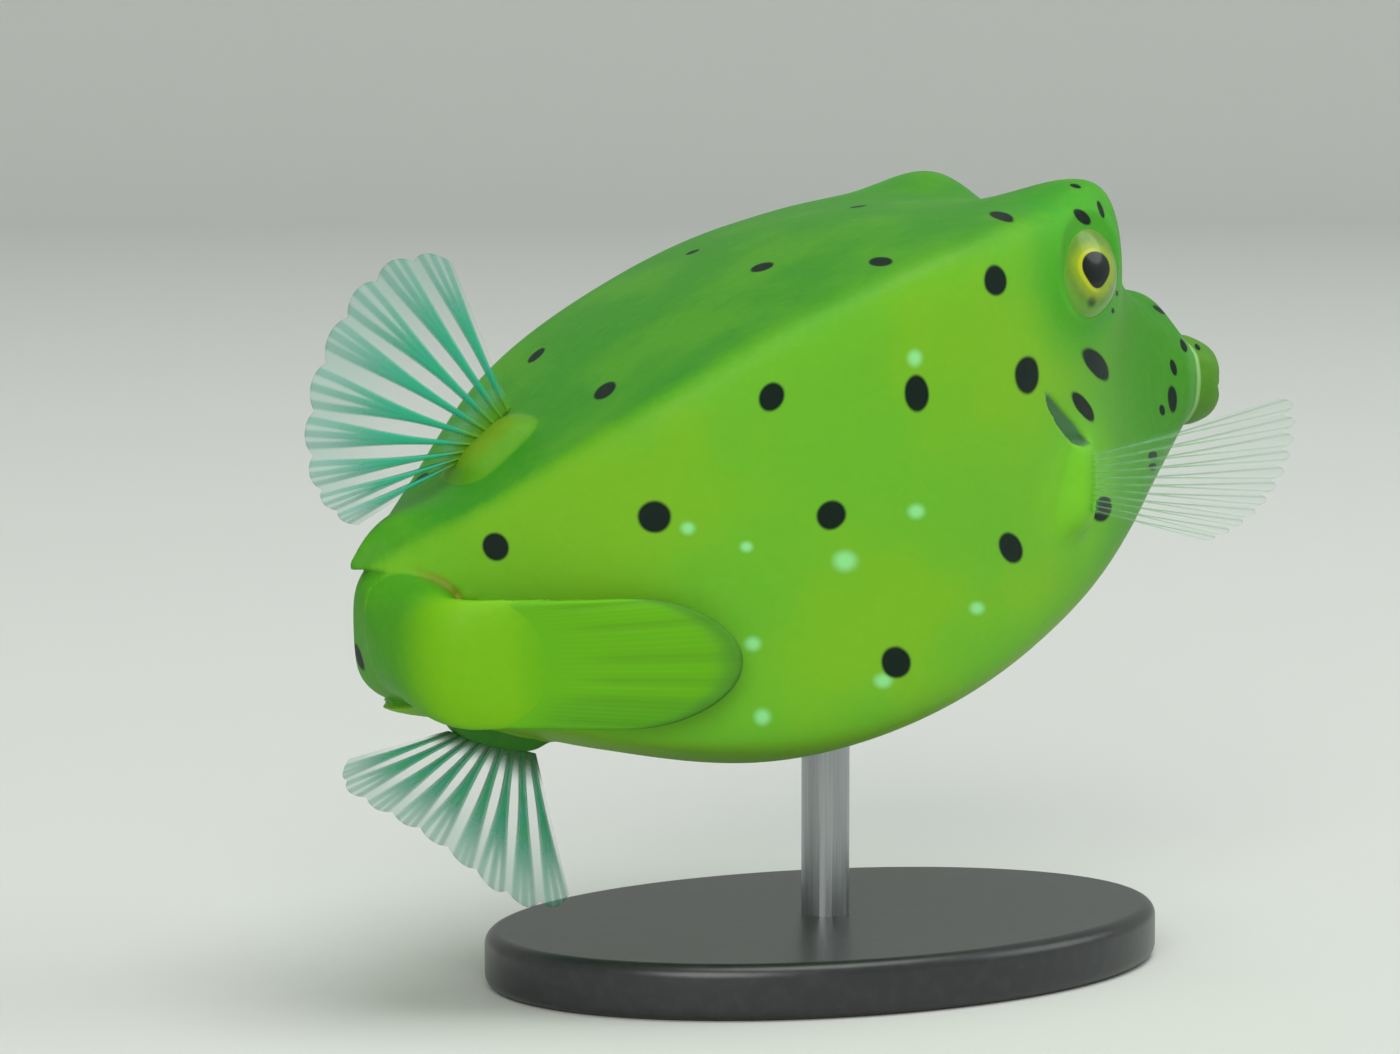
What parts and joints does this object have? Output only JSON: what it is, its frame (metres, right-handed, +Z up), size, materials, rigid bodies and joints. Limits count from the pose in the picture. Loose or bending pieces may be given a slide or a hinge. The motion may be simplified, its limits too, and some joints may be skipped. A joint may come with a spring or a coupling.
{
  "type": "boxfish figure",
  "caption": "Yellow boxfish with a boxy ridged shell, pouting lips, tail swung to its right side and spread fins, held by a rod on an oval display plate.",
  "frame": {"origin": "centre of the underside of the oval stand plate, on the floor, under the rod", "axes": "+X toward the fish's snout (the body is tipped nose up by about 4 degrees), +Y toward the fish's left side, +Z up"},
  "size_m": [0.0951, 0.0573, 0.0723],
  "materials": {
    "skin": "satin fish skin, lime yellow with black and pale spots",
    "lip": "satin skin",
    "eye": "wet gloss, black pupil in a yellow rim",
    "flesh": "satin skin",
    "caudal_fin": "satin web with raised rays",
    "clear_fin": "translucent web with raised rays",
    "stand_plate": "satin black",
    "stand_steel": "brushed"
  },
  "bodies": {
    "root": {"head": "skin", "torso": "skin", "upper_lip": "lip", "lower_lip": "lip", "eye_right": "eye", "eye_left": "eye", "caudal_peduncle": "flesh", "caudal_fin": "caudal_fin", "dorsal_fin_lobe": "flesh", "dorsal_fin": "clear_fin", "anal_fin_lobe": "flesh", "anal_fin": "clear_fin", "pectoral_base_right": "flesh", "pectoral_base_left": "flesh", "pectoral_fin_right": "clear_fin", "pectoral_fin_left": "clear_fin", "stand_base": "stand_plate", "stand_rod": "stand_steel"}
  },
  "joints": []
}
